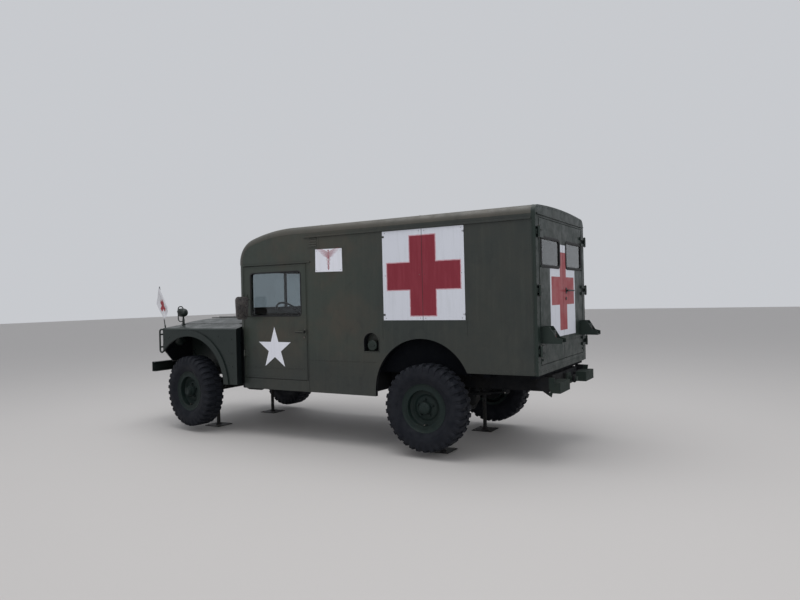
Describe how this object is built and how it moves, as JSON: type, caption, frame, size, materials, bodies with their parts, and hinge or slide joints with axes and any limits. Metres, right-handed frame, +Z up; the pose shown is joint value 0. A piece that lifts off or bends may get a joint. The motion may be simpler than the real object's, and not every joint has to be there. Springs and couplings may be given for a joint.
{
  "type": "military ambulance truck",
  "caption": "Box-bodied four-wheel-drive military ambulance on display stands, with opening cab and rear doors, hinged hood, steered front wheels and red-cross panels.",
  "frame": {"origin": "on the ground under the middle of the overall length and width", "axes": "+X forward, +Y to the vehicle's left, +Z up"},
  "size_m": [5.345, 2.14, 2.398],
  "materials": {
    "drab": "semi-gloss olive drab paint",
    "dark_metal": "dull dark green paint",
    "engine_grey": "painted cast iron",
    "steel": "worn steel",
    "rust": "rusty pipe",
    "white_paint": "white enamel",
    "tyre": "black rubber",
    "glass": "clear glass",
    "canvas": "olive canvas",
    "cloth": "white cloth",
    "mirror": "mirror in a painted housing",
    "black": "black moulded plastic",
    "stand_paint": "dark paint"
  },
  "bodies": {
    "truck": {"frame": "dark_metal", "front_bumper": "drab", "headlamp_guards": "drab", "grille_panel": "drab", "lamps": "drab", "front_fenders": "drab", "cab_front": "drab", "windscreen_glass": "glass", "left_side": "drab", "right_side": "drab", "roof": "drab", "rear_wall": "drab", "floor": "drab", "partition": "drab", "seat_frames": "drab", "seat_cushions": "canvas", "dashboard": "drab", "front_axle": "dark_metal", "rear_axle": "dark_metal", "leaf_springs": "dark_metal", "powertrain": "engine_grey", "propeller_shafts": "dark_metal", "fuel_tank": "dark_metal", "exhaust": "rust", "display_stands": "stand_paint", "pennant": "cloth", "side_boards": "white_paint"},
    "hood": {"hood": "drab"},
    "tie_rod": {"tie_rod": "dark_metal"},
    "steering_wheel": {"steering_wheel": "black"},
    "left_cab_door": {"left_cab_door": "drab", "left_cab_glass": "glass", "left_mirror": "mirror"},
    "left_rear_door": {"left_rear_door": "drab", "left_rear_glass": "glass"},
    "left_knuckle": {"left_knuckle": "dark_metal"},
    "left_front_wheel": {"left_front_tyre": "tyre", "left_front_rim": "drab"},
    "left_rear_wheel": {"left_rear_tyre": "tyre", "left_rear_rim": "drab"},
    "right_cab_door": {"right_cab_door": "drab", "right_cab_glass": "glass", "right_mirror": "mirror"},
    "right_rear_door": {"right_rear_door": "drab", "right_rear_glass": "glass"},
    "right_knuckle": {"right_knuckle": "dark_metal"},
    "right_front_wheel": {"right_front_tyre": "tyre", "right_front_rim": "drab"},
    "right_rear_wheel": {"right_rear_tyre": "tyre", "right_rear_rim": "drab"}
  },
  "joints": [
    {"name": "hood_hinge", "type": "hinge", "parent": "truck", "child": "hood", "pos_m": [1.3565, 0, 1.35], "axis": [0, -1, 0], "range_deg": [0, 50]},
    {"name": "left_cab_door_hinge", "type": "hinge", "parent": "truck", "child": "left_cab_door", "pos_m": [1.04, 0.842, 1.085], "axis": [0, 0, -1], "range_deg": [0, 70]},
    {"name": "left_rear_door_hinge", "type": "hinge", "parent": "truck", "child": "left_rear_door", "pos_m": [-2.5035, 0.8, 1.596], "axis": [0, 0, -1], "range_deg": [0, 170]},
    {"name": "left_steer", "type": "hinge", "parent": "truck", "child": "left_knuckle", "pos_m": [1.8325, 0.65, 0.485], "axis": [0, 0, 1], "range_deg": [-22.2, 37.8]},
    {"name": "left_front_wheel_spin", "type": "hinge", "parent": "left_knuckle", "child": "left_front_wheel", "pos_m": [1.86019, 0.85211, 0.485], "axis": [0.1357, 0.9907, 0], "continuous": true},
    {"name": "left_rear_wheel_spin", "type": "hinge", "parent": "truck", "child": "left_rear_wheel", "pos_m": [-1.3675, 0.854, 0.485], "axis": [0, 1, 0], "continuous": true},
    {"name": "right_cab_door_hinge", "type": "hinge", "parent": "truck", "child": "right_cab_door", "pos_m": [1.04, -0.842, 1.085], "axis": [0, 0, 1], "range_deg": [0, 70]},
    {"name": "right_rear_door_hinge", "type": "hinge", "parent": "truck", "child": "right_rear_door", "pos_m": [-2.5035, -0.8, 1.596], "axis": [0, 0, 1], "range_deg": [0, 170]},
    {"name": "right_steer", "type": "hinge", "parent": "truck", "child": "right_knuckle", "pos_m": [1.8325, -0.65, 0.485], "axis": [0, 0, 1], "range_deg": [-22.2, 37.8]},
    {"name": "right_front_wheel_spin", "type": "hinge", "parent": "right_knuckle", "child": "right_front_wheel", "pos_m": [1.80481, -0.85211, 0.485], "axis": [0.1357, 0.9907, 0], "continuous": true},
    {"name": "right_rear_wheel_spin", "type": "hinge", "parent": "truck", "child": "right_rear_wheel", "pos_m": [-1.3675, -0.854, 0.485], "axis": [0, 1, 0], "continuous": true},
    {"name": "tie_rod_pivot", "type": "hinge", "parent": "left_knuckle", "child": "tie_rod", "pos_m": [2.00588, 0.62625, 0.465], "axis": [0, 0, 1], "range_deg": [-38, 22.4]},
    {"name": "steering_wheel_turn", "type": "hinge", "parent": "truck", "child": "steering_wheel", "pos_m": [0.6825, 0.42, 1.377], "axis": [-0.766, 0, 0.6428], "range_deg": [-446, 758]}
  ],
  "couplings": [
    {"joint": "right_steer", "follows": "left_steer", "ratio": 1},
    {"joint": "tie_rod_pivot", "follows": "left_steer", "ratio": -1},
    {"joint": "steering_wheel_turn", "follows": "left_steer", "ratio": 20}
  ]
}
